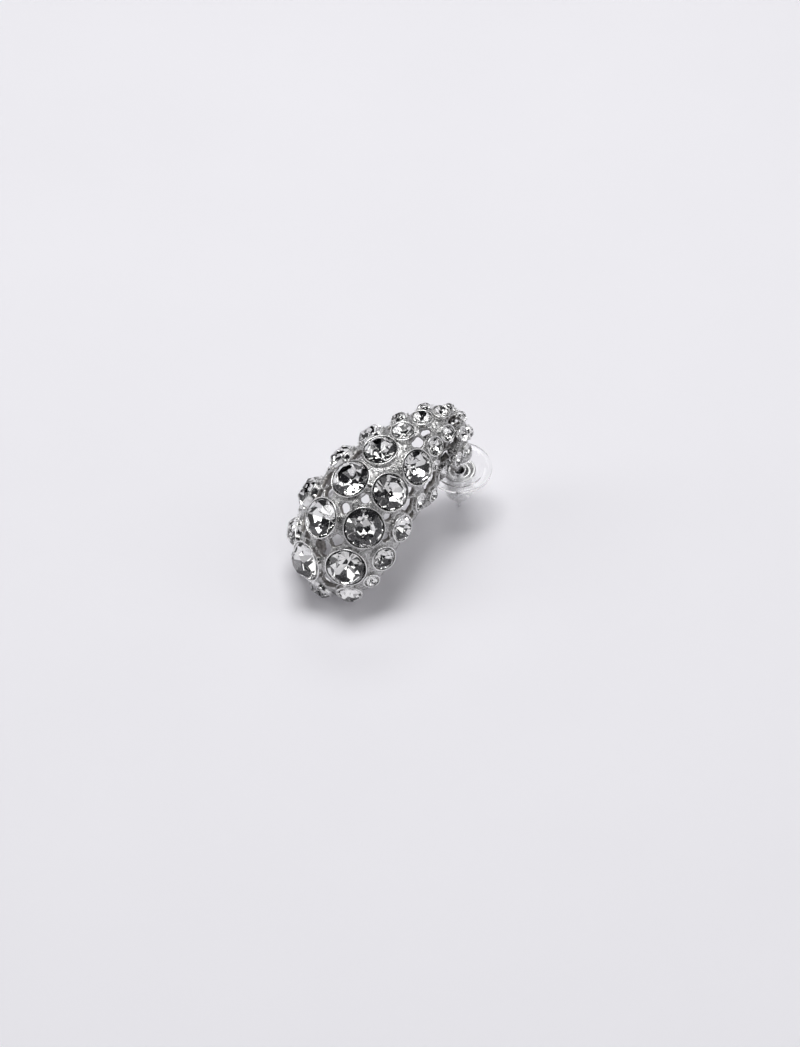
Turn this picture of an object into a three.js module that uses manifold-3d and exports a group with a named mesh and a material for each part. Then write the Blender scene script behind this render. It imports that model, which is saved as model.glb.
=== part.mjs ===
// Drop earring: a hollow, comma-shaped dome of round crystals in bezel cups, with an ear post and a clutch.
// Millimetres. It is modelled in its wearing axes (+X sideways, +Y front, +Z up) and then laid on its back.
import * as THREE from 'three';
import { mergeVertices } from 'three/addons/utils/BufferGeometryUtils.js';
import Module from 'manifold-3d';

const wasm = await Module();
wasm.setup();

// ---- driving sizes -------------------------------------------------------------------------------------

// The dome is a tube round this spine: it starts at the tip, curls over the top and drops into the bulb.
const SPINE = new THREE.CubicBezierCurve3(
  new THREE.Vector3(-2.8, 0, 0),
  new THREE.Vector3(2, 5.3, 10),
  new THREE.Vector3(0.8, 1.9, -17.5),
  new THREE.Vector3(0, -9.2, -18.4),
);
const SPINE_LENGTH = SPINE.getLength();
const TUBE = { tip: 3.3, neck: 4.8, shoulder: 8.9, bulb: 10.3 }; // radius weights along the spine
const SHELL = { top: -0.35, bottom: -1.35, rows: 20, columns: 9 }; // the cast web, under the cups' rims
const SHELL_START = -2.6; // stations where the web begins and ends, in mm from the spine's start
const SHELL_END = SPINE_LENGTH + 7.4;

const CUP = { wall: 0.2, foot: 0.45, floor: 0.4, mouth: 1, small: 5, smallSides: 9, sides: 12 };
const STONE = { gap: 0.25, crown: 0.46, pavilion: 0.74, table: 0.56, girdle: 0.12 };
const WINDOW = {
  edge: 10, web: 0.35, smallest: 0.55, largest: 1.5, sides: 5, depth: 5, stationStep: 0.5, angleStep: 4,
};

const POST = { x: -3.7, z: 2.5, radius: 0.4, end: -15.6, sides: 12 };
const PAD = {
  root: -0.6, seat: -2, cutBottom: -0.5, cutTop: 10, cutReach: 20, bossRadius: 2.1, radius: 1.8, thickness: 0.5,
  gap: 0.3,
};
const CLUTCH = {
  face: -5.9, hub: 2.8, collar: 1.7, groove: 2.2, grooveDepth: 0.3, bore: 0.75, flange: 0.6, neck: 1.1,
  barrel: 2.4, length: 6.2, taper: 0.8, taperLength: 1, sides: 32,
};
const DISC = { radius: 5.5, flat: 4.2, face: -5.2, dish: 0.8, thickness: 0.7, gap: 0.3, edge: 0.2, sides: 32 };

// Small turns that bring its points of rest down onto one level surface.
const REST = { pitch: THREE.MathUtils.degToRad(-1.25), roll: THREE.MathUtils.degToRad(3.7) };

// How far the web reaches round each side, in degrees: nearly closed at the neck, a slanted rim at the bulb.
const WRAP = [
  { at: SHELL_START, right: 130, left: 130 },
  { at: 3, right: 120, left: 120 },
  { at: 6, right: 140, left: 124 },
  { at: 9, right: 157, left: 128 },
  { at: 12, right: 150, left: 120 },
  { at: 14.5, right: 148, left: 108 },
  { at: 18, right: 112, left: 100 },
  { at: 22, right: 94, left: 100 },
  { at: 28, right: 78, left: 100 },
  { at: 33, right: 50, left: 96 },
  { at: SHELL_END, right: 22, left: 84 },
];

// Each crystal: station along the spine, angle round it (0 is the crest), and its cup's outer diameter.
const CRYSTALS = [
  { at: -1.1, angle: -112, cup: 2.7 },
  { at: -1, angle: 114, cup: 2.6 },
  { at: 1, angle: -84, cup: 2.6 },
  { at: 1.5, angle: 84, cup: 2.8 },
  { at: 2.75, angle: -106, cup: 2.6 },
  { at: 2.9, angle: -61, cup: 2.7 },
  { at: 3.5, angle: 50, cup: 3 },
  { at: 5.3, angle: -52, cup: 3.1 },
  { at: 5, angle: 2, cup: 3.2 },
  { at: 5.8, angle: 54, cup: 3.4 },
  { at: 8.7, angle: -55, cup: 3.5 },
  { at: 7.5, angle: 8, cup: 3.8 },
  { at: 9.2, angle: 60, cup: 3.8 },
  { at: 11, angle: 5, cup: 4.2 },
  { at: 13.5, angle: -54, cup: 6.3 },
  { at: 15.3, angle: 4, cup: 6 },
  { at: 13.9, angle: 56, cup: 5.4 },
  { at: 17.2, angle: -97, cup: 3.3 },
  { at: 16.8, angle: 95, cup: 3.4 },
  { at: 19.1, angle: -42, cup: 6.6 },
  { at: 20.5, angle: 6, cup: 6.9 },
  { at: 18.9, angle: 57, cup: 5.7 },
  { at: 21.3, angle: 82, cup: 2.8 },
  { at: 22.6, angle: -80, cup: 4.8 },
  { at: 24.3, angle: -37, cup: 7.1 },
  { at: 25.4, angle: 9, cup: 7 },
  { at: 24.8, angle: 60, cup: 6.6 },
  { at: 27.1, angle: -69, cup: 4.5 },
  { at: 28.3, angle: -34, cup: 7.1 },
  { at: 29.3, angle: 9, cup: 7.2 },
  { at: 28.8, angle: 46, cup: 5.6 },
  { at: 29.7, angle: -60, cup: 2.9 },
  { at: 24.6, angle: 99, cup: 3.8 },
  { at: 28.6, angle: 79, cup: 4.2 },
  { at: 31.2, angle: 97, cup: 3.4 },
  { at: 31.9, angle: 66, cup: 3.8 },
  { at: 34.3, angle: 86, cup: 3.4 },
  { at: 33, angle: -39, cup: 4.7 },
  { at: 35.4, angle: -1, cup: 5 },
  { at: 33.6, angle: 42, cup: 4.6 },
  { at: 9.2, angle: -133, cup: 2.9 },
  { at: 13.8, angle: -133, cup: 2.7 },
  { at: 10.4, angle: -86, cup: 2.2 },
  { at: 4.1, angle: 28, cup: 2.6 },
  { at: 3.7, angle: -19, cup: 2.4 },
];

// ---- the dome's surface --------------------------------------------------------------------------------

const radians = THREE.MathUtils.degToRad;
const SIDEWAYS = new THREE.Vector3(1, 0, 0);

// Centre, direction, sideways and crest directions of the tube at a station, straight on past both ends.
function section(station) {
  const inside = THREE.MathUtils.clamp(station, 0, SPINE_LENGTH);
  const along = SPINE.getTangentAt(inside / SPINE_LENGTH);
  const centre = SPINE.getPointAt(inside / SPINE_LENGTH).addScaledVector(along, station - inside);
  const side = SIDEWAYS.clone().addScaledVector(along, -along.x).normalize();
  return { centre, along, side, crest: side.clone().cross(along) };
}

// The tube's radius: a cubic blend along the spine, then a round end over the bulb.
function tubeRadius(station) {
  const u = THREE.MathUtils.clamp(station / SPINE_LENGTH, 0, 1);
  const v = 1 - u;
  const past = Math.max(station - SPINE_LENGTH, 0) / TUBE.bulb;
  const blend = v ** 3 * TUBE.tip + 3 * v * v * u * TUBE.neck
    + 3 * v * u * u * TUBE.shoulder + u ** 3 * TUBE.bulb;
  return blend * Math.sqrt(1 - Math.min(past, 0.99) ** 2);
}

// A point on the dome: round over the crest, and straight back down each side past a right angle.
function surfacePoint(station, angle) {
  const { centre, side, crest } = section(station);
  const radius = tubeRadius(station);
  const round = THREE.MathUtils.clamp(angle, -90, 90);
  const straight = radians(Math.abs(angle - round));
  return centre
    .addScaledVector(side, radius * Math.sin(radians(round)))
    .addScaledVector(crest, radius * (Math.cos(radians(round)) - straight));
}

function surfaceNormal(station, angle) {
  const step = 0.01;
  const alongStep = surfacePoint(station + step, angle).sub(surfacePoint(station - step, angle));
  const roundStep = surfacePoint(station, angle + step).sub(surfacePoint(station, angle - step));
  const normal = alongStep.cross(roundStep).normalize();
  const outward = surfacePoint(station, angle).sub(section(station).centre);
  return normal.dot(outward) < 0 ? normal.negate() : normal;
}

function wrapAt(station) {
  const next = Math.max(WRAP.findIndex(({ at }) => at >= station), 1);
  const [before, after] = [WRAP[next - 1], WRAP[next]];
  const reach = (side) => THREE.MathUtils.mapLinear(station, before.at, after.at, before[side], after[side]);
  return { right: reach('right'), left: reach('left') };
}

// A group at a place on the dome, whose own +Y points straight out of it.
function seatOn(station, angle) {
  const seat = new THREE.Object3D();
  seat.position.copy(surfacePoint(station, angle));
  seat.quaternion.setFromUnitVectors(new THREE.Vector3(0, 1, 0), surfaceNormal(station, angle));
  seat.updateMatrix();
  return seat;
}

// ---- solids --------------------------------------------------------------------------------------------

function toSolid(geometry) {
  const bare = geometry.clone();
  bare.deleteAttribute('normal');
  bare.deleteAttribute('uv');
  const merged = mergeVertices(bare, 1e-5);
  return new wasm.Manifold(new wasm.Mesh({
    numProp: 3,
    vertProperties: Float32Array.from(merged.attributes.position.array),
    triVerts: Uint32Array.from(merged.index.array),
  }));
}

function toGeometry(solid) {
  const { vertProperties, triVerts, numProp } = solid.getMesh();
  const geometry = new THREE.BufferGeometry();
  const positions = new Float32Array(vertProperties.length / numProp * 3);
  for (let i = 0; i < positions.length / 3; i += 1) {
    positions.set(vertProperties.subarray(i * numProp, i * numProp + 3), i * 3);
  }
  geometry.setAttribute('position', new THREE.BufferAttribute(positions, 3));
  geometry.setIndex(new THREE.BufferAttribute(Uint32Array.from(triVerts), 1));
  return geometry;
}

function turned(profile, sides) {
  return new THREE.LatheGeometry(profile.map(([r, y]) => new THREE.Vector2(r, y)), sides);
}

const shellStation = (t) => THREE.MathUtils.lerp(SHELL_START, SHELL_END, t);

// The dome's crest line. The web's rows stand equally far apart along it, so they crowd at the bend.
class Crest extends THREE.Curve {
  getPoint(t) {
    return surfacePoint(shellStation(t), 0);
  }
}

// The cast web: a sheet that follows the dome, closed along its edges, with its depth measured to the spine.
function webSheet() {
  const { rows, columns, top, bottom } = SHELL;
  const crest = new Crest();
  const positions = [];
  const index = [];
  for (const depth of [top, bottom]) {
    for (let i = 0; i <= rows; i += 1) {
      const station = shellStation(crest.getUtoTmapping(i / rows));
      const { right, left } = wrapAt(station);
      const { centre } = section(Math.min(station, SPINE_LENGTH));
      for (let j = 0; j <= columns; j += 1) {
        const point = surfacePoint(station, THREE.MathUtils.lerp(-right, left, j / columns));
        positions.push(...point.lerp(centre, -depth / point.distanceTo(centre)));
      }
    }
  }
  const layer = (rows + 1) * (columns + 1);
  const corner = (i, j, under) => under * layer + i * (columns + 1) + j;
  const quad = (a, b, c, d) => index.push(a, b, c, a, c, d);
  for (let i = 0; i < rows; i += 1) {
    for (let j = 0; j < columns; j += 1) {
      quad(corner(i, j, 0), corner(i, j + 1, 0), corner(i + 1, j + 1, 0), corner(i + 1, j, 0));
      quad(corner(i, j, 1), corner(i + 1, j, 1), corner(i + 1, j + 1, 1), corner(i, j + 1, 1));
    }
    quad(corner(i, 0, 0), corner(i + 1, 0, 0), corner(i + 1, 0, 1), corner(i, 0, 1));
    quad(corner(i, columns, 0), corner(i, columns, 1), corner(i + 1, columns, 1), corner(i + 1, columns, 0));
  }
  for (let j = 0; j < columns; j += 1) {
    quad(corner(0, j, 0), corner(0, j, 1), corner(0, j + 1, 1), corner(0, j + 1, 0));
    quad(corner(rows, j, 0), corner(rows, j + 1, 0), corner(rows, j + 1, 1), corner(rows, j, 1));
  }
  const geometry = new THREE.BufferGeometry();
  geometry.setAttribute('position', new THREE.Float32BufferAttribute(positions, 3));
  geometry.setIndex(index);
  return toSolid(geometry);
}

const stoneRadius = (cup) => cup / 2 - CUP.wall - STONE.gap;
const cupSides = (cup) => (cup < CUP.small ? CUP.smallSides : CUP.sides);

// The bezel cup: a tapered bowl whose rim is at height 0.
function cupBody(cup) {
  const outer = cup / 2;
  const depth = stoneRadius(cup) * STONE.pavilion + STONE.gap + CUP.floor;
  const foot = [[0, -depth], [outer * CUP.foot, -depth], [outer, -depth * CUP.foot]];
  return turned([...foot, [outer, 0], [0, 0]], cupSides(cup));
}

// What is cut out of a cup for its stone, with a gap all round.
function cupHollow(cup) {
  const inner = cup / 2 - CUP.wall;
  const culet = stoneRadius(cup) * STONE.pavilion + STONE.gap;
  return turned([[0, -culet], [inner, -STONE.gap], [inner, CUP.mouth], [0, CUP.mouth]], cupSides(cup));
}

// A round crystal: table, crown, girdle and pavilion, with its girdle level with the cup's rim.
function crystal(cup) {
  const radius = stoneRadius(cup);
  return turned([
    [0, -radius * STONE.pavilion],
    [radius, 0],
    [radius, STONE.girdle],
    [radius * STONE.table, STONE.girdle + radius * STONE.crown],
    [0, STONE.girdle + radius * STONE.crown],
  ], cupSides(cup));
}

// Openings through the web: wherever neighbouring cups leave room, largest first.
function windows() {
  const rims = CRYSTALS.map(({ at, angle, cup }) => ({ centre: surfacePoint(at, angle), radius: cup / 2 }));
  const spots = [];
  for (let station = WINDOW.stationStep; station < SHELL_END - 2 * WINDOW.web; station += WINDOW.stationStep) {
    const wrap = wrapAt(station);
    for (let angle = WINDOW.edge - wrap.right; angle <= wrap.left - WINDOW.edge; angle += WINDOW.angleStep) {
      const centre = surfacePoint(station, angle);
      const room = Math.min(...rims.map((rim) => centre.distanceTo(rim.centre) - rim.radius)) - WINDOW.web;
      spots.push({ station, angle, centre, radius: Math.min(room, WINDOW.largest) });
    }
  }
  spots.sort((a, b) => b.radius - a.radius);
  const chosen = [];
  for (const spot of spots) {
    const clear = (other) => spot.centre.distanceTo(other.centre) > spot.radius + other.radius + 2 * WINDOW.web;
    if (spot.radius > WINDOW.smallest && chosen.every(clear)) chosen.push(spot);
  }
  return chosen;
}

function placed(geometry, seat) {
  return toSolid(geometry.applyMatrix4(seat.matrix));
}

// The space behind the ear-side plane of the tip, where the casting is cut flat for the post's pad.
function behindTip() {
  const { cutReach, cutTop, cutBottom, seat } = PAD;
  const block = new THREE.BoxGeometry(cutReach, cutReach, cutTop - cutBottom);
  block.translate(POST.x, seat - cutReach / 2, (cutTop + cutBottom) / 2);
  return toSolid(block);
}

function setting() {
  let solid = webSheet();
  for (const { station, angle, radius } of windows()) {
    const cutter = new THREE.CylinderGeometry(radius, radius, WINDOW.depth, WINDOW.sides);
    solid = solid.subtract(placed(cutter, seatOn(station, angle)));
  }
  for (const { at, angle, cup } of CRYSTALS) {
    solid = solid.add(placed(cupBody(cup), seatOn(at, angle)));
  }
  solid = solid.subtract(behindTip());
  const boss = new THREE.CylinderGeometry(PAD.bossRadius, PAD.bossRadius, PAD.root - PAD.seat, CUP.sides);
  boss.translate(POST.x, (PAD.root + PAD.seat) / 2, POST.z);
  solid = solid.add(toSolid(boss));
  for (const { at, angle, cup } of CRYSTALS) {
    solid = solid.subtract(placed(cupHollow(cup), seatOn(at, angle)));
  }
  return toGeometry(solid);
}

// ---- the object ----------------------------------------------------------------------------------------

const silver = { color: 0xc9cacd, roughness: 0.18, metalness: 1 };
const crystalGlass = { color: 0xf4f6f8, roughness: 0.02, metalness: 0 };
const clearPlastic = { color: 0xf2f4f5, roughness: 0.08, metalness: 0 };

function piece(name, geometry, look) {
  const mesh = new THREE.Mesh(geometry, new THREE.MeshStandardMaterial(look));
  mesh.name = name;
  return mesh;
}

function crystals() {
  return CRYSTALS.map(({ at, angle, cup }, i) => {
    const seat = seatOn(at, angle);
    const stone = piece(`crystal_${String(i + 1).padStart(2, '0')}`, crystal(cup), crystalGlass);
    stone.position.copy(seat.position);
    stone.quaternion.copy(seat.quaternion);
    return stone;
  });
}

// The ear post stands on a round pad, which is cemented to the boss behind the tip.
function earPost() {
  const padFront = PAD.seat - PAD.gap;
  const padBack = padFront - PAD.thickness;
  return piece('ear_post', turned([
    [0, POST.end],
    [POST.radius * 0.5, POST.end],
    [POST.radius, POST.end + POST.radius],
    [POST.radius, padBack],
    [PAD.radius, padBack],
    [PAD.radius, padFront],
    [0, padFront],
  ], POST.sides), silver);
}

// The clutch's metal barrel, bored through, with a grooved hub on the side that faces the ear.
function clutchBarrel() {
  const { face, hub, collar, groove, grooveDepth, bore, flange } = CLUTCH;
  const { neck, barrel, length, taper, taperLength } = CLUTCH;
  const end = face - length;
  return piece('clutch_barrel', turned([
    [bore, end],
    [barrel - taper, end],
    [barrel, end + taperLength],
    [barrel, face - neck],
    [hub, face - flange],
    [hub, face],
    [groove, face],
    [groove, face - grooveDepth],
    [collar, face - grooveDepth],
    [collar, face],
    [bore, face],
    [bore, end],
  ], CLUTCH.sides), silver);
}

// The clear plastic disc round the hub, flat where it lies against the back of the ear and dished to the hub.
function clutchDisc() {
  const { radius, flat, face, dish, thickness, gap, edge } = DISC;
  const inner = CLUTCH.hub + gap;
  return piece('clutch_disc', turned([
    [inner, face - dish - thickness],
    [flat, face - thickness],
    [radius - edge, face - thickness],
    [radius, face - thickness + edge],
    [radius, face - edge],
    [radius - edge, face],
    [flat, face],
    [inner, face - dish],
    [inner, face - dish - thickness],
  ], DISC.sides), clearPlastic);
}

// Post and clutch share one axis, along Y.
const backFittings = new THREE.Group();
backFittings.position.set(POST.x, 0, POST.z);
backFittings.add(earPost(), clutchBarrel(), clutchDisc());

const asWorn = new THREE.Group();
asWorn.add(piece('setting', setting(), silver), ...crystals(), backFittings);

// Laid on its back: the front turns up and the tip points along +Y.
const laidDown = new THREE.Group();
laidDown.rotation.set(REST.pitch, REST.roll, 0);
const turnedOver = new THREE.Group();
turnedOver.rotation.set(Math.PI / 2, 0, Math.PI, 'ZYX');
turnedOver.add(asWorn);
laidDown.add(turnedOver);

const earring = new THREE.Group();
earring.add(laidDown);
earring.updateMatrixWorld(true);
const box = new THREE.Box3().setFromObject(earring, true);
const middle = box.getCenter(new THREE.Vector3());
laidDown.position.set(-middle.x, -middle.y, -box.min.z);

export default earring;
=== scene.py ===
"""The looks of the drop earring: faceted crystals, cast setting, post and clutch, on a pale studio floor."""

import math

import bmesh
import bpy
import numpy as np
from mathutils import Matrix, Vector, noise


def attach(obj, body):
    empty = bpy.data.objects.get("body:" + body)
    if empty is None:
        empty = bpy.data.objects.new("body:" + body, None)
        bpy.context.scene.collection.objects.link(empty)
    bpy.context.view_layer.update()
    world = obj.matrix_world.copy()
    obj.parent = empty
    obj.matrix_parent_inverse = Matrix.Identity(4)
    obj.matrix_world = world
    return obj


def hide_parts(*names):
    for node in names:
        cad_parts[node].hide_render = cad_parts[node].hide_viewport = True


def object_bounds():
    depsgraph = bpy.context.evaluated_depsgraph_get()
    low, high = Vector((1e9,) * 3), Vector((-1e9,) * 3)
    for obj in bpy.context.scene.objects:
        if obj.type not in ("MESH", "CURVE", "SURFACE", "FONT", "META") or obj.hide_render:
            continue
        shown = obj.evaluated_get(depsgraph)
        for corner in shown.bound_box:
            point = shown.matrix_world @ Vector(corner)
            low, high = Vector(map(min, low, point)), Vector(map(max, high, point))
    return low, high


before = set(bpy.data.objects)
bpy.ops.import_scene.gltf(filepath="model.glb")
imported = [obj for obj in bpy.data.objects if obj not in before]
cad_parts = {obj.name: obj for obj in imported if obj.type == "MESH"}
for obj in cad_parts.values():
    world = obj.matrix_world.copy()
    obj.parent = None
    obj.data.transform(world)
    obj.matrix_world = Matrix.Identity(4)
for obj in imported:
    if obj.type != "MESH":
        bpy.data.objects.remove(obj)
cad_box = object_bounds()

MM = 0.001

# ---- sizes, in mm, in the earring's wearing axes (x sideways, y front, z up) ------------------------------

# The dome is a tube round a cubic curve. Its radius blends from the tip, by neck and shoulder, to the bulb,
# and it closes round past the curve's end.
SPINE = np.array([(-2.8, 0, 0), (2, 5.3, 10), (0.8, 1.9, -17.5), (0, -9.2, -18.4)])
SPINE_STEPS = 200
TUBE = (3.3, 4.8, 8.9, 10.3)
CLOSED = 0.99  # the round end stops this share of the way to its pole

# The web's faces lie this far from the dome; it starts before the curve's tip and runs on past its end.
SHELL_TOP, SHELL_BOTTOM = -0.35, -1.35
SHELL_START, SHELL_PAST = -2.6, 7.4
# Stations along the curve, and how far the web reaches round the right and left sides there, in degrees.
WRAP = [
    (SHELL_START, 130, 130), (3, 120, 120), (6, 140, 124), (9, 157, 128), (12, 150, 120), (14.5, 148, 108),
    (18, 112, 100), (22, 94, 100), (28, 78, 100), (33, 50, 96), (None, 22, 84),
]
WEB_ROWS, WEB_COLUMNS, NORMAL_STEP = 190, 120, 0.01

# A cup's foot is a share of its radius, and its floor lies below the stone's culet.
CUP_WALL, STONE_GAP, CUP_FLOOR, CUP_FOOT = 0.2, 0.25, 0.4, 0.45
CUP_OUTSIDE = [  # shares of its radius and of its depth
    (0, 1), (CUP_FOOT * 0.8, 1), (CUP_FOOT, 0.96), (0.97, CUP_FOOT * 1.05), (0.995, CUP_FOOT * 0.85),
]
WAIST, WAIST_DROP, NECK_INSET, NECK_DROP = 0.985, 0.3, 0.02, 0.12
CUP_SIDES, LIP_STEPS, LIP_DROP, LIP_RISE = 56, 7, 0.06, 0.1
CUP_THROAT, CULET_ROOM = [(0.01, 0.2), (0.12, 0.34)], 0.05
CUP_REACH, OUT_OF_REACH = 3.5, 9  # a cup counts this far above and below its girdle; beyond, nothing is near

# Windows stay off the web's edges, in degrees, and off the cups and each other. Their centres are tried at
# steps along the web, in mm, and round it, in degrees.
WINDOW_EDGE, WINDOW_WEB, WINDOW_SMALLEST, WINDOW_LARGEST = 10, 0.35, 0.5, 1.5
WINDOW_FIRST, WINDOW_LAST, WINDOW_STEP, WINDOW_TURN = 0.5, 0.8, 0.5, 4
# Then they grow, but leave a bridge between two of them, and a share of the web beside a cup. The web runs
# a little way into the cups' walls.
WINDOW_GROWTH, HALF_BRIDGE, WEB_SHARE, WEB_IN_CUP = 1.5, 0.22, 0.8, 0.18

# The web's top: lifted, grooved round the cups, rounded over at openings and pitted; its underside is lumpy.
WEB_LIFT, GROOVE_DEPTH, GROOVE_WIDTH = 0.08, 0.24, 0.2
ROUND_DEPTH, ROUND_WIDTH, ROUND_OFF_CUP, ROUND_UNDER = 0.26, 0.3, 0.1, 0.3
PIT_DEPTH, PITS_PER_MM, LUMP_DEPTH, LUMPS_PER_MM, LUMP_SHIFT = 0.12, 1.9, 0.1, 1.1, 9
FRACTAL = (0.6, 2.1, 3)  # roughness, lacunarity and octaves

# The bead along the web's open edge, in the band that the windows leave there.
RIM_BAND, RIM_RADIUS, RIM_SIDES = 0.75, 0.44, 14
RIM_STATIONS, RIM_ROUND_END, RIM_SMOOTHINGS = 320, 80, 40

# The seat of the post's pad, and the plane that trims the web behind and below it.
SEAT, CUT_BOTTOM, CUT_SLANT, CUT_END = -2, -0.5, 0.6, -8

# Turned pieces on the post's line, as (radius, height) pairs round each outline.
POST_X, POST_Z = -3.7, 2.5
TURNED_SIDES, EDGE_BEVEL, EDGE_STEPS, EDGE_ANGLE = 96, 0.05, 2, 35
BOSS = [
    (0, -0.6), (1.9, -0.6), (2.06, -0.7), (2.1, -0.9), (2.1, -1.85), (2.02, -1.97), (1.9, -2), (0, -2),
]
POST = [
    (0, -15.6), (0.14, -15.58), (0.28, -15.45), (0.38, -15.2), (0.4, -15), (0.4, -14.1), (0.34, -13.95),
    (0.34, -13.75), (0.4, -13.6), (0.4, -3), (0.46, -2.86), (0.6, -2.8), (1.72, -2.8), (1.8, -2.72),
    (1.8, -2.38), (1.72, -2.3), (0, -2.3),
]
BARREL = [
    (0.75, -12.1), (1.6, -12.1), (1.95, -12), (2.25, -11.65), (2.4, -11.1), (2.4, -7), (2.48, -6.85),
    (2.74, -6.6), (2.8, -6.45), (2.8, -6.02), (2.72, -5.92), (2.6, -5.9), (2.35, -5.92), (2.1, -6.02),
    (1.8, -6.12), (1.5, -6.1), (1.25, -6), (1.0, -5.95), (0.85, -6.05), (0.75, -6.4), (0.75, -12.1),
]
DISC = [
    (3.1, -6.7), (4.2, -5.9), (5.3, -5.9), (5.44, -5.84), (5.5, -5.7), (5.5, -5.4), (5.44, -5.26),
    (5.3, -5.2), (4.2, -5.2), (3.1, -6), (3.1, -6.7),
]
DISC_MIDDLE = -5.75  # the mean height of the corners of the clutch disc in the frame

# How far the earring is tipped to lie level on three points.
REST_PITCH, REST_ROLL = math.radians(-1.25), math.radians(3.7)

# A stone's cut, as shares of its radius. A corner facet is some degrees steeper than a main one.
FACETS, TABLE, CROWN_HEIGHT, GIRDLE_HEIGHT, PAVILION_DEPTH = 8, 0.58, 0.46, 0.05, 0.74
CORNER_STEEPER, CORNER_HEIGHT = 9, 1.2
BLANK_SIDES, BLANK_DEPTH, FOIL_BELOW = 48, 3, -0.05
STONE_TURN = 2.399  # each stone is turned this much further than the last, in radians
GIRDLE_SHARE = 0.97  # corners this near a stone's full radius are on its girdle

TINY, DECIMALS, NEARLY_ALONG = 1e-6, 4, 0.8

# ---- from wearing axes to the frame it lies in -------------------------------------------------------------

TURNED_OVER = Matrix.Rotation(math.pi, 3, "Z") @ Matrix.Rotation(math.pi / 2, 3, "X")
LAID_DOWN = np.array(
    Matrix.Rotation(REST_PITCH, 3, "X") @ Matrix.Rotation(REST_ROLL, 3, "Y") @ TURNED_OVER
)
disc_corners = np.unique(np.round([v.co[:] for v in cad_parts["clutch_disc"].data.vertices], 7), axis=0)
ORIGIN = disc_corners.mean(0) / MM - LAID_DOWN @ np.array((POST_X, DISC_MIDDLE, POST_Z))


def to_frame(points):
    """Points in wearing axes and mm, as points in the frame and metres."""
    return (np.asarray(points) @ LAID_DOWN.T + ORIGIN) * MM


def to_wearing(points):
    """Points in the frame and metres, as points in wearing axes and mm."""
    return (np.asarray(points) / MM - ORIGIN) @ LAID_DOWN


# ---- the dome's surface ------------------------------------------------------------------------------------


def bezier(t):
    t = np.asarray(t, float)[..., None]
    a, b, c, d = SPINE
    return (1 - t) ** 3 * a + 3 * (1 - t) ** 2 * t * b + 3 * (1 - t) * t**2 * c + t**3 * d


def bezier_direction(t):
    t = np.asarray(t, float)[..., None]
    a, b, c, d = SPINE
    slope = 3 * (1 - t) ** 2 * (b - a) + 6 * (1 - t) * t * (c - b) + 3 * t**2 * (d - c)
    return slope / np.linalg.norm(slope, axis=-1, keepdims=True)


SPINE_T = np.linspace(0, 1, SPINE_STEPS + 1)
SPINE_RUN = np.concatenate([[0], np.cumsum(np.linalg.norm(np.diff(bezier(SPINE_T), axis=0), axis=1))])
SPINE_LENGTH = SPINE_RUN[-1]
SHELL_END = SPINE_LENGTH + SHELL_PAST
WRAP[-1] = (SHELL_END, *WRAP[-1][1:])


def section(station):
    """The curve's point at a station, and the directions to the dome's side and to its crest there."""
    inside = np.clip(station, 0, SPINE_LENGTH)
    t = np.interp(inside, SPINE_RUN, SPINE_T)
    along = bezier_direction(t)
    centre = bezier(t) + along * (np.asarray(station) - inside)[..., None]
    side = np.array((1.0, 0, 0)) - along * along[..., :1]
    side /= np.linalg.norm(side, axis=-1, keepdims=True)
    return centre, side, np.cross(side, along)


def tube_radius(station):
    u = np.clip(np.asarray(station) / SPINE_LENGTH, 0, 1)
    v = 1 - u
    tip, neck, shoulder, bulb = TUBE
    past = np.maximum(np.asarray(station) - SPINE_LENGTH, 0) / bulb
    blend = v**3 * tip + 3 * v * v * u * neck + 3 * v * u * u * shoulder + u**3 * bulb
    return blend * np.sqrt(1 - np.minimum(past, CLOSED) ** 2)


def surface(station, degrees):
    """The dome: round over its crest, and straight back down each side past a right angle."""
    centre, side, crest = section(station)
    radius = tube_radius(station)[..., None]
    degrees = np.asarray(degrees, float)[..., None]
    over_crest = np.clip(degrees, -90, 90)
    angle, straight = np.radians(over_crest), np.radians(np.abs(degrees - over_crest))
    return centre + radius * (side * np.sin(angle) + crest * (np.cos(angle) - straight))


def surface_normal(station, degrees):
    """The direction that faces out of the dome's surface."""
    step = NORMAL_STEP
    along = surface(station + step, degrees) - surface(station - step, degrees)
    around = surface(station, degrees + step) - surface(station, degrees - step)
    normal = np.cross(along, around)
    normal /= np.linalg.norm(normal, axis=-1, keepdims=True)
    outward = surface(station, degrees) - section(station)[0]
    return normal * np.sign((normal * outward).sum(-1, keepdims=True))


def wrap_at(station):
    """How far the web reaches round the right and the left side at a station, in degrees."""
    stations, right, left = (np.array(column, float) for column in zip(*WRAP))
    return np.interp(station, stations, right), np.interp(station, stations, left)


# ---- the crystals' places, read from the frame -------------------------------------------------------------


def read_stone(node):
    """A crystal's girdle centre, the direction it faces and its radius, in wearing axes and mm."""
    points = to_wearing([v.co[:] for v in node.data.vertices])
    points = np.unique(points.round(DECIMALS), axis=0)
    middle = points.mean(0)
    axis = np.linalg.svd(points - middle)[2][-1]
    height = (points - middle) @ axis
    if height.max() > -height.min():
        axis, height = -axis, -height
    radial = np.linalg.norm(points - middle - np.outer(height, axis), axis=1)
    radius = radial.max()
    girdle = height[radial > radius * GIRDLE_SHARE].min()
    return middle + axis * girdle, axis, radius


STONES = {
    name: read_stone(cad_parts[name]) for name in sorted(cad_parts) if name.startswith("crystal_")
}
CUP_CENTRES = np.array([s[0] for s in STONES.values()])
CUP_AXES = np.array([s[1] for s in STONES.values()])
CUP_RADII = np.array([s[2] for s in STONES.values()]) + CUP_WALL + STONE_GAP

# ---- mesh helpers ------------------------------------------------------------------------------------------


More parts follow.
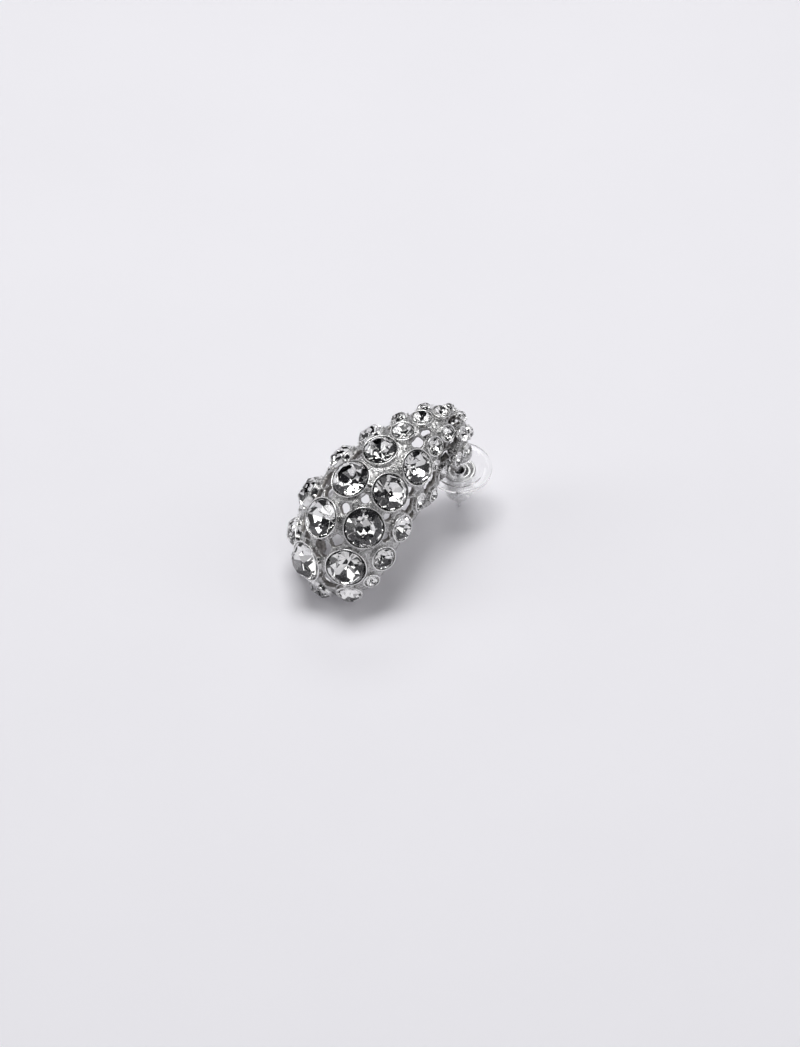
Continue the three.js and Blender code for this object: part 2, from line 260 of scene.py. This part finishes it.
def mesh_object(name, points, faces, materials, face_materials=None, smooth=True):
    """An object from points in the frame, in metres."""
    mesh = bpy.data.meshes.new(name)
    mesh.from_pydata([tuple(p) for p in points], [], [tuple(int(i) for i in f) for f in faces])
    for m in materials:
        mesh.materials.append(m)
    if face_materials is not None:
        mesh.polygons.foreach_set("material_index", np.asarray(face_materials, np.int32))
    mesh.polygons.foreach_set("use_smooth", np.full(len(mesh.polygons), smooth))
    mesh.update()
    obj = bpy.data.objects.new(name, mesh)
    bpy.context.scene.collection.objects.link(obj)
    return obj


def seat_axes(axis):
    """Two directions square to an axis."""
    start = np.array((1.0, 0, 0)) if abs(axis[0]) < NEARLY_ALONG else np.array((0, 1.0, 0))
    first = np.cross(axis, start)
    first /= np.linalg.norm(first)
    return first, np.cross(axis, first)


def lathe(profile, sides, centre, axis):
    """Points and faces of a body turned round an axis; profile is (radius, height) pairs, foot to top."""
    first, second = seat_axes(axis)
    angles = np.linspace(0, 2 * math.pi, sides, endpoint=False)
    points, rings = [], []
    for radius, height in profile:
        base = centre + axis * height
        if radius < TINY:
            rings.append([len(points)])
            points.append(base)
            continue
        rings.append(list(range(len(points), len(points) + sides)))
        points.extend(base + radius * (first * math.cos(a) + second * math.sin(a)) for a in angles)
    faces = []
    for low, high in zip(rings, rings[1:]):
        for i in range(sides):
            j = (i + 1) % sides
            if len(low) == 1:
                faces.append((low[0], high[j], high[i]))
            elif len(high) == 1:
                faces.append((low[i], low[j], high[0]))
            else:
                faces.append((low[i], low[j], high[j], high[i]))
    return points, faces


def join(parts):
    """Several (points, faces, one material index or one for each face) as one."""
    points, faces, materials = [], [], []
    for part_points, part_faces, material in parts:
        start = len(points)
        points.extend(part_points)
        faces.extend(tuple(start + i for i in f) for f in part_faces)
        materials.extend(material if isinstance(material, list) else [material] * len(part_faces))
    return points, faces, materials


# ---- materials ---------------------------------------------------------------------------------------------


def new_material(name):
    material = bpy.data.materials.new(name)
    material.use_nodes = True
    nodes = material.node_tree.nodes
    return material, nodes, material.node_tree.links, nodes["Principled BSDF"]


NOISE_ROUGHNESS = 0.55
RAMP_START, RAMP_END = 0.3, 0.7
WEAR_CELLS = 2.3  # a metal's wear is this much coarser than its grain
GRAIN_DETAIL, WEAR_DETAIL = 4, 3


def add_noise(nodes, links, cell, detail):
    """Soft noise with cells of about this many mm."""
    where = nodes.new("ShaderNodeTexCoord")
    cloud = nodes.new("ShaderNodeTexNoise")
    cloud.inputs["Scale"].default_value = 1 / (cell * MM)
    cloud.inputs["Detail"].default_value = detail
    cloud.inputs["Roughness"].default_value = NOISE_ROUGHNESS
    links.new(where.outputs["Object"], cloud.inputs["Vector"])
    return cloud


def add_ramp(nodes, links, source, low, high):
    """A colour that follows a noise from low to high."""
    ramp = nodes.new("ShaderNodeValToRGB")
    ramp.color_ramp.elements[0].position, ramp.color_ramp.elements[1].position = RAMP_START, RAMP_END
    ramp.color_ramp.elements[0].color, ramp.color_ramp.elements[1].color = low, high
    links.new(source, ramp.inputs["Fac"])
    return ramp.outputs["Color"]


def grey(value, tint=(1, 1, 1)):
    return (value * tint[0], value * tint[1], value * tint[2], 1)


def add_bump(nodes, links, shader, source, strength, depth):
    """Bump of this many mm at full strength."""
    bump = nodes.new("ShaderNodeBump")
    bump.inputs["Strength"].default_value = strength
    bump.inputs["Distance"].default_value = depth * MM
    links.new(source, bump.inputs["Height"])
    links.new(bump.outputs["Normal"], shader.inputs["Normal"])


def metal(name, colours, roughness, cell, bump_strength, bump_depth):
    """A metal whose colour and roughness each drift between two values; cell and bump_depth are in mm."""
    material, nodes, links, shader = new_material(name)
    shader.inputs["Metallic"].default_value = 1
    cloud = add_noise(nodes, links, cell, GRAIN_DETAIL)
    links.new(add_ramp(nodes, links, cloud.outputs["Fac"], *colours), shader.inputs["Base Color"])
    wear = add_noise(nodes, links, cell * WEAR_CELLS, WEAR_DETAIL)
    smooth, rough = roughness
    links.new(
        add_ramp(nodes, links, wear.outputs["Fac"], grey(smooth), grey(rough)), shader.inputs["Roughness"]
    )
    add_bump(nodes, links, shader, cloud.outputs["Fac"], bump_strength, bump_depth)
    return material


polished = metal(
    "polished_silver", colours=(grey(0.78, (1, 0.995, 0.985)), grey(0.9)), roughness=(0.06, 0.2),
    cell=0.9, bump_strength=0.25, bump_depth=0.02,
)
cast = metal(
    "cast_silver", colours=(grey(0.26, (1, 0.985, 0.97)), grey(0.66)), roughness=(0.15, 0.36),
    cell=0.38, bump_strength=1, bump_depth=0.15,
)
# The web's underside and the walls of its openings: rougher, and a darker, brownish colour that is painted
# shade for the dome's shadowed inside.
cast_back_painted_shade = metal(
    "cast_back_painted_shade", colours=(grey(0.2, (1, 0.94, 0.9)), grey(0.42, (1, 0.96, 0.93))), roughness=(0.45, 0.6),
    cell=0.5, bump_strength=1, bump_depth=0.1,
)
post_metal = metal(
    "post_silver", colours=(grey(0.82), grey(0.93)), roughness=(0.2, 0.34),
    cell=0.6, bump_strength=0.2, bump_depth=0.01,
)


def clear(name, ior, tint, haze_roughness, cell, detail, bump_strength, bump_depth):
    """A clear material with a faint haze; cell and bump_depth are in mm."""
    material, nodes, links, shader = new_material(name)
    shader.inputs["Transmission Weight"].default_value = 1
    shader.inputs["IOR"].default_value = ior
    haze = add_noise(nodes, links, cell, detail)
    links.new(add_ramp(nodes, links, haze.outputs["Fac"], grey(tint), grey(1)), shader.inputs["Base Color"])
    links.new(
        add_ramp(nodes, links, haze.outputs["Fac"], grey(0), grey(haze_roughness)), shader.inputs["Roughness"]
    )
    add_bump(nodes, links, shader, haze.outputs["Fac"], bump_strength, bump_depth)
    return material


def crystal_foil(colours, roughness, cell, detail):
    """The mirror foil behind a stone; cell is in mm."""
    material, nodes, links, shader = new_material("crystal_foil")
    shader.inputs["Metallic"].default_value = 1
    bloom = add_noise(nodes, links, cell, detail)
    smooth, rough = roughness
    links.new(add_ramp(nodes, links, bloom.outputs["Fac"], *colours), shader.inputs["Base Color"])
    links.new(
        add_ramp(nodes, links, bloom.outputs["Fac"], grey(smooth), grey(rough)), shader.inputs["Roughness"]
    )
    return material


glass = clear(
    "crystal_glass", ior=1.56, tint=0.96, haze_roughness=0.02, cell=1.4, detail=2,
    bump_strength=0.15, bump_depth=0.01,
)
foil = crystal_foil(
    colours=(grey(0.88), grey(0.96, (1, 0.995, 0.985))), roughness=(0.01, 0.05), cell=1.1, detail=2
)
plastic = clear(
    "clear_plastic", ior=1.3, tint=0.97, haze_roughness=0.06, cell=2.5, detail=3,
    bump_strength=0.1, bump_depth=0.02,
)

# ---- crystals ----------------------------------------------------------------------------------------------


def cut_stone():
    """A faceted round stone of radius 1 facing +z, cut plane by plane from a round blank."""
    bm = bmesh.new()
    bmesh.ops.create_cone(bm, cap_ends=True, segments=BLANK_SIDES, radius1=1, radius2=1, depth=BLANK_DEPTH)

    def facet(azimuth, through, slope, side):
        """Cuts a facet at an azimuth, sloping down to the girdle (side 1) or up to it (side -1)."""
        radius, height = through
        tilt = math.radians(slope)
        out = math.sin(tilt)
        normal = Vector((out * math.cos(azimuth), out * math.sin(azimuth), side * math.cos(tilt)))
        point = Vector((radius * math.cos(azimuth), radius * math.sin(azimuth), height))
        everything = bm.verts[:] + bm.edges[:] + bm.faces[:]
        cut = bmesh.ops.bisect_plane(
            bm, geom=everything, dist=TINY, plane_co=point, plane_no=normal, clear_outer=True
        )
        rim = [g for g in cut["geom_cut"] if isinstance(g, bmesh.types.BMEdge)]
        if len(rim) > 2:
            bmesh.ops.contextual_create(bm, geom=rim)

    top = GIRDLE_HEIGHT + CROWN_HEIGHT
    apothem = TABLE * math.cos(math.pi / FACETS)
    crown_slope = math.degrees(math.atan(CROWN_HEIGHT / (1 - apothem)))
    pavilion_slope = math.degrees(math.atan(PAVILION_DEPTH))
    mains = [k * 2 * math.pi / FACETS for k in range(FACETS)]
    corners = [(k + 0.5) * 2 * math.pi / FACETS for k in range(FACETS)]
    facet(0, (0, top), 0, 1)
    for azimuth in mains:
        facet(azimuth, (apothem, top), crown_slope, 1)
    for azimuth in corners:
        facet(azimuth, (0, -PAVILION_DEPTH), pavilion_slope, -1)
    for azimuth in corners:
        facet(azimuth, (1, GIRDLE_HEIGHT * CORNER_HEIGHT), crown_slope + CORNER_STEEPER, 1)
    bmesh.ops.recalc_face_normals(bm, faces=bm.faces[:])
    bm.verts.index_update()
    points = np.array([v.co[:] for v in bm.verts])
    faces = [[v.index for v in f.verts] for f in bm.faces]
    foiled = [int(f.normal.z < FOIL_BELOW) for f in bm.faces]
    bm.free()
    return points, faces, foiled


unit_points, unit_faces, foiled = cut_stone()

for number, (name, (centre, axis, radius)) in enumerate(STONES.items()):
    first, second = seat_axes(axis)
    turn = number * STONE_TURN
    across = first * math.cos(turn) + second * math.sin(turn)
    beside = np.cross(axis, across)
    placed = centre + radius * (
        np.outer(unit_points[:, 0], across)
        + np.outer(unit_points[:, 1], beside)
        + np.outer(unit_points[:, 2], axis)
    )
    stone = mesh_object(name + "_cut", to_frame(placed), unit_faces, [glass, foil], foiled, smooth=False)
    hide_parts(name)
    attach(stone, "earring")

# ---- the cast setting --------------------------------------------------------------------------------------

# The third material, on the web's underside and opening walls, carries painted shade.
POLISHED, CAST, SHADED_BACK = range(3)  # the setting's materials
POST_FOOT, POST_AXIS = np.array((POST_X, 0, POST_Z)), np.array((0, 1.0, 0))


def cup_profile(outer):
    """A bezel cup's outline from its foot, up the wall, over the rounded rim and down inside."""
    inner = outer - CUP_WALL
    stone = inner - STONE_GAP
    culet = stone * PAVILION_DEPTH + STONE_GAP
    depth = culet + CUP_FLOOR
    wall = [(outer * across, -depth * down) for across, down in CUP_OUTSIDE]
    wall += [(outer * WAIST, -WAIST_DROP), (outer - NECK_INSET, -NECK_DROP)]
    lip = [
        (outer - CUP_WALL / 2 + CUP_WALL / 2 * math.cos(a), -LIP_DROP + LIP_RISE * math.sin(a))
        for a in np.linspace(0, math.pi, LIP_STEPS)
    ]
    throat = [(inner - inset, -drop) for inset, drop in CUP_THROAT]
    return wall + lip + throat + [(0, -culet - CULET_ROOM)]


def window_spots():
    """Openings through the web, wherever neighbouring cups leave room, largest first."""
    spots = []
    for station in np.arange(WINDOW_FIRST, SHELL_END - WINDOW_LAST, WINDOW_STEP):
        right, left = wrap_at(station)
        degrees = np.arange(WINDOW_EDGE - right, left - WINDOW_EDGE + TINY, WINDOW_TURN)
        centres = surface(np.full_like(degrees, station), degrees)
        room = (np.linalg.norm(centres[:, None] - CUP_CENTRES, axis=2) - CUP_RADII).min(1) - WINDOW_WEB
        spots.extend(zip(np.minimum(room, WINDOW_LARGEST), centres))
    chosen = []
    for radius, centre in sorted(spots, key=lambda s: -s[0]):
        if radius > WINDOW_SMALLEST and all(
            np.linalg.norm(centre - c) > radius + r + 2 * WINDOW_WEB for r, c in chosen
        ):
            chosen.append((radius, centre))
    return chosen


WINDOWS = window_spots()
WINDOW_RADII = np.array([w[0] for w in WINDOWS])
WINDOW_CENTRES = np.array([w[1] for w in WINDOWS])


def nearest_cup(points):
    """Distance from points on the dome to the wall of the nearest cup; negative inside one."""
    away = points[..., None, :] - CUP_CENTRES
    deep = (away * CUP_AXES).sum(-1)
    radial = np.linalg.norm(away - deep[..., None] * CUP_AXES, axis=-1)
    return np.where(np.abs(deep) < CUP_REACH, radial - CUP_RADII, OUT_OF_REACH).min(-1)


def seat_cut(points):
    """How far points lie behind the plane of the pad's seat, which slants back below the tip."""
    below = np.maximum(CUT_BOTTOM - points[..., 2], 0)
    return np.where(points[..., 2] > CUT_END, SEAT - CUT_SLANT * below - points[..., 1], -OUT_OF_REACH)


def open_field(stations, degrees):
    """A field that is positive where the web is open, and the distance to the nearest cup."""
    points = surface(stations, degrees)
    right, left = wrap_at(stations)
    edge = tube_radius(stations) * np.radians(np.minimum(degrees + right, left - degrees))
    edge = np.minimum(edge, np.minimum(stations - SHELL_START, SHELL_END - stations))
    cup = nearest_cup(points)
    away = np.linalg.norm(points[..., None, :] - WINDOW_CENTRES, axis=-1)
    window = (WINDOW_RADII * WINDOW_GROWTH - away).max(-1)
    nearest = np.sort(away - WINDOW_RADII, axis=-1)
    bridge = (nearest[..., 1] - nearest[..., 0]) / 2 - HALF_BRIDGE
    window = np.minimum(np.minimum(window, bridge), np.minimum(cup - WINDOW_WEB * WEB_SHARE, edge - RIM_BAND))
    return np.maximum(np.maximum(window, -cup - WEB_IN_CUP), seat_cut(points)), cup


def web():
    """The web between the cups: a sheet with a soft top, clipped along its openings."""
    rows, columns = WEB_ROWS, WEB_COLUMNS
    stations = np.linspace(SHELL_START, SHELL_END, rows + 1)
    right, left = wrap_at(stations)
    share = np.linspace(0, 1, columns + 1)
    grid_degrees = -right[:, None] + (right + left)[:, None] * share
    grid_stations = np.repeat(stations[:, None], columns + 1, 1)
    field, _ = open_field(grid_stations, grid_degrees)
    marks, index = [], {}

    def corner(i, j):
        key = (i, j)
        if key not in index:
            index[key] = len(marks)
            marks.append((grid_stations[i, j], grid_degrees[i, j]))
        return index[key]

    def crossing(a, b):
        key = (min(a, b), max(a, b))
        if key not in index:
            fa, fb = field[key[0]], field[key[1]]
            s = fa / (fa - fb)
            index[key] = len(marks)
            marks.append((
                grid_stations[key[0]] * (1 - s) + grid_stations[key[1]] * s,
                grid_degrees[key[0]] * (1 - s) + grid_degrees[key[1]] * s,
            ))
        return index[key]

    top = []
    for i in range(rows):
        for j in range(columns):
            loop = [(i, j), (i + 1, j), (i + 1, j + 1), (i, j + 1)]
            solid = [field[c] <= 0 for c in loop]
            if not any(solid):
                continue
            face = []
            for k, c in enumerate(loop):
                after = loop[(k + 1) % 4]
                if solid[k]:
                    face.append(corner(*c))
                if solid[k] != solid[(k + 1) % 4]:
                    face.append(crossing(c, after))
            if len(face) > 2:
                top.append(face)
    marks = np.array(marks)
    base = surface(marks[:, 0], marks[:, 1])
    normal = surface_normal(marks[:, 0], marks[:, 1])
    outward = base - section(np.minimum(marks[:, 0], SPINE_LENGTH))[0]
    outward /= np.linalg.norm(outward, axis=1, keepdims=True)
    opening, cup = open_field(marks[:, 0], marks[:, 1])
    groove = GROOVE_DEPTH * np.exp(-np.maximum(cup, 0) / GROOVE_WIDTH)
    round_over = ROUND_DEPTH * np.clip(1 + opening / ROUND_WIDTH, 0, 1) ** 2 * (cup > ROUND_OFF_CUP)
    pits = np.array([noise.fractal(Vector(p * PITS_PER_MM), *FRACTAL) for p in base])
    lumps = np.array([noise.fractal(Vector(p * LUMPS_PER_MM + LUMP_SHIFT), *FRACTAL) for p in base])
    over = SHELL_TOP + WEB_LIFT - groove - round_over + PIT_DEPTH * pits
    under = SHELL_BOTTOM + ROUND_UNDER * round_over + LUMP_DEPTH * lumps
    count = len(marks)
    points = np.vstack([base + normal * over[:, None], base + outward * under[:, None]])
    edges = dict.fromkeys((a, b) for face in top for a, b in zip(face, face[1:] + face[:1]))
    faces = [list(f) for f in top] + [[count + i for i in reversed(f)] for f in top]
    faces += [[b, a, count + a, count + b] for a, b in edges if (b, a) not in edges]
    return points, faces, [CAST] * len(top) + [SHADED_BACK] * (len(faces) - len(top))


def bead(line, outward):
    """A closed round wire along a line."""
    tangent = np.gradient(line, axis=0)
    tangent /= np.linalg.norm(tangent, axis=1, keepdims=True)
    side = np.cross(tangent, outward)
    side /= np.linalg.norm(side, axis=1, keepdims=True)
    sides = RIM_SIDES
    angles = np.linspace(0, 2 * math.pi, sides, endpoint=False)
    points = np.concatenate([
        c + RIM_RADIUS * (np.outer(np.cos(angles), a) + np.outer(np.sin(angles), b))
        for c, a, b in zip(line, side, np.cross(tangent, side))
    ])
    faces = [
        (i * sides + k, i * sides + (k + 1) % sides, (i + 1) * sides + (k + 1) % sides, (i + 1) * sides + k)
        for i in range(len(line) - 1)
        for k in range(sides)
    ]
    last = (len(line) - 1) * sides
    return points, faces + [tuple(reversed(range(sides))), tuple(range(last, last + sides))], CAST


def rim():
    """Beads along the web's open edge, from the tip round the bulb and back, between the cups."""
    stations = np.linspace(SHELL_START, SHELL_END, RIM_STATIONS)
    right, left = wrap_at(stations)
    end = np.linspace(-right[-1], left[-1], RIM_ROUND_END)
    marks = np.vstack([
        np.column_stack([stations, -right]),
        np.column_stack([np.full_like(end, SHELL_END), end])[1:-1],
        np.column_stack([stations, left])[::-1],
    ])
    line = surface(marks[:, 0], marks[:, 1])
    outward = line - section(np.minimum(marks[:, 0], SPINE_LENGTH))[0]
    outward /= np.linalg.norm(outward, axis=1, keepdims=True)
    line += outward * (SHELL_TOP + SHELL_BOTTOM) / 2
    for _ in range(RIM_SMOOTHINGS):
        line[1:-1] = (line[:-2] + 2 * line[1:-1] + line[2:]) / 4
    kept = (seat_cut(line) < -RIM_RADIUS / 2) & (nearest_cup(line) > -CUP_WALL / 2)
    ends = np.flatnonzero(np.diff(np.concatenate([[0], kept.astype(int), [0]])))
    return [bead(line[a:b], outward[a:b]) for a, b in zip(ends[::2], ends[1::2]) if b - a > 2]


parts = [web(), *rim()]
for centre, axis, outer in zip(CUP_CENTRES, CUP_AXES, CUP_RADII):
    parts.append((*lathe(cup_profile(outer), CUP_SIDES, centre, axis), POLISHED))
parts.append((*lathe(BOSS, CUP_SIDES, POST_FOOT, POST_AXIS), CAST))
points, faces, kinds = join(parts)
cage = mesh_object("setting_cast", to_frame(points), faces, [polished, cast, cast_back_painted_shade], kinds)
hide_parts("setting")
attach(cage, "earring")

# ---- post and clutch ---------------------------------------------------------------------------------------


def turned_piece(name, node, body, profile, material):
    """A body turned round the post's line, with its edges broken."""
    points, faces = lathe(profile, TURNED_SIDES, POST_FOOT, POST_AXIS)
    obj = mesh_object(name, to_frame(points), faces, [material])
    bevel = obj.modifiers.new("edges", "BEVEL")
    bevel.width, bevel.segments = EDGE_BEVEL * MM, EDGE_STEPS
    bevel.limit_method, bevel.angle_limit = "ANGLE", math.radians(EDGE_ANGLE)
    obj.modifiers.new("shading", "WEIGHTED_NORMAL")
    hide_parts(node)
    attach(obj, body)


turned_piece("ear_post_turned", "ear_post", "earring", POST, post_metal)
turned_piece("clutch_barrel_turned", "clutch_barrel", "clutch", BARREL, post_metal)
turned_piece("clutch_disc_turned", "clutch_disc", "clutch", DISC, plastic)

# ---- stage, lights and camera ------------------------------------------------------------------------------

AZIMUTH, ELEVATION, ROLL = math.radians(48.87), math.radians(49.08), math.radians(-5.36)
# In metres: the camera's distance, the height that it frames, its aim off the box's middle, and its clipping.
DISTANCE, FRAME_HEIGHT = 0.8, 0.1745
AIM_RIGHT, AIM_UP = 0.00278, -0.0051
CLIP_NEAR, CLIP_FAR = 0.01, 10
SENSOR = 36

FLOOR_RADIUS, FLOOR_SIDES = 6, 96
FLOOR_COLOURS = (0.92, 0.91, 0.95, 1), (0.935, 0.925, 0.965, 1)
FLOOR_SMOOTH, FLOOR_ROUGH = 0.75, 0.85
FLOOR_CELL, FLOOR_DETAIL = 40, 3

# The world's paper and room, and the sines of the elevations where one ends and the other starts.
PAPER, ROOM = (0.82, 0.815, 0.84, 1), (0.018, 0.018, 0.02, 1)
PAPER_TOP, ROOM_START = 0.3, 0.48

# Each panel's name, azimuth (from the camera's side to the right) and elevation in degrees, its distance,
# width and height in metres, and its power in watts.
PANELS = [
    ("top_panel", 180, 80, 0.7, 0.38, 0.3, 2.8),
    ("back_panel", 172, 46, 0.8, 0.36, 0.16, 0.5),
    ("left_panel", -95, 38, 0.8, 0.3, 0.6, 0.8),
    ("right_panel", 80, 42, 0.8, 0.25, 0.5, 0.6),
    ("front_panel", 24, 64, 0.8, 0.16, 0.3, 0.3),
]

toward = Vector((
    math.sin(AZIMUTH) * math.cos(ELEVATION), -math.cos(AZIMUTH) * math.cos(ELEVATION), math.sin(ELEVATION)
))
level_right = Vector((math.cos(AZIMUTH), math.sin(AZIMUTH), 0))
level_up = toward.cross(level_right)
right = level_right * math.cos(ROLL) + level_up * math.sin(ROLL)
up = toward.cross(right)
middle = (cad_box[0] + cad_box[1]) / 2
aim = middle + right * AIM_RIGHT + up * AIM_UP

camera = bpy.data.objects.new("camera", bpy.data.cameras.new("camera"))
bpy.context.scene.collection.objects.link(camera)
turn = Matrix((right, up, toward)).transposed().to_4x4()
camera.matrix_world = Matrix.Translation(aim + toward * DISTANCE) @ turn
camera.data.sensor_width = SENSOR
camera.data.lens = SENSOR * DISTANCE / FRAME_HEIGHT
camera.data.clip_start, camera.data.clip_end = CLIP_NEAR, CLIP_FAR
bpy.context.scene.camera = camera


def floor_material():
    material, nodes, links, shader = new_material("pale_floor")
    cloud = add_noise(nodes, links, FLOOR_CELL, FLOOR_DETAIL)
    links.new(add_ramp(nodes, links, cloud.outputs["Fac"], *FLOOR_COLOURS), shader.inputs["Base Color"])
    links.new(
        add_ramp(nodes, links, cloud.outputs["Fac"], grey(FLOOR_SMOOTH), grey(FLOOR_ROUGH)),
        shader.inputs["Roughness"],
    )
    return material


circle = [
    (FLOOR_RADIUS * math.cos(a), FLOOR_RADIUS * math.sin(a), 0)
    for a in np.linspace(0, 2 * math.pi, FLOOR_SIDES, endpoint=False)
]
floor = mesh_object("floor", circle, [range(FLOOR_SIDES)], [floor_material()], smooth=False)


def area_light(name, azimuth, elevation, distance, width, height, power):
    """A soft panel that faces the earring."""
    data = bpy.data.lights.new(name, "AREA")
    data.shape, data.size, data.size_y, data.energy = "RECTANGLE", width, height, power
    a = AZIMUTH + math.radians(azimuth)
    e = math.radians(elevation)
    back = Vector((math.sin(a) * math.cos(e), -math.cos(a) * math.cos(e), math.sin(e)))
    obj = bpy.data.objects.new(name, data)
    bpy.context.scene.collection.objects.link(obj)
    obj.location = back * distance
    obj.rotation_euler = back.to_track_quat("Z", "Y").to_euler()


for panel in PANELS:
    area_light(*panel)


def studio_world():
    """Pale paper all round at the floor's level, fading up into a dark room."""
    world = bpy.data.worlds.new("studio")
    bpy.context.scene.world = world
    world.use_nodes = True
    nodes, links = world.node_tree.nodes, world.node_tree.links
    background = nodes["Background"]
    where = nodes.new("ShaderNodeTexCoord")
    split = nodes.new("ShaderNodeSeparateXYZ")
    ramp = nodes.new("ShaderNodeValToRGB")
    links.new(where.outputs["Generated"], split.inputs[0])
    links.new(split.outputs["Z"], ramp.inputs["Fac"])
    ramp.color_ramp.elements[0].position, ramp.color_ramp.elements[1].position = PAPER_TOP, ROOM_START
    ramp.color_ramp.elements[0].color, ramp.color_ramp.elements[1].color = PAPER, ROOM
    links.new(ramp.outputs["Color"], background.inputs["Color"])
    background.inputs["Strength"].default_value = 1


studio_world()
bpy.context.scene.view_settings.view_transform = "Standard"
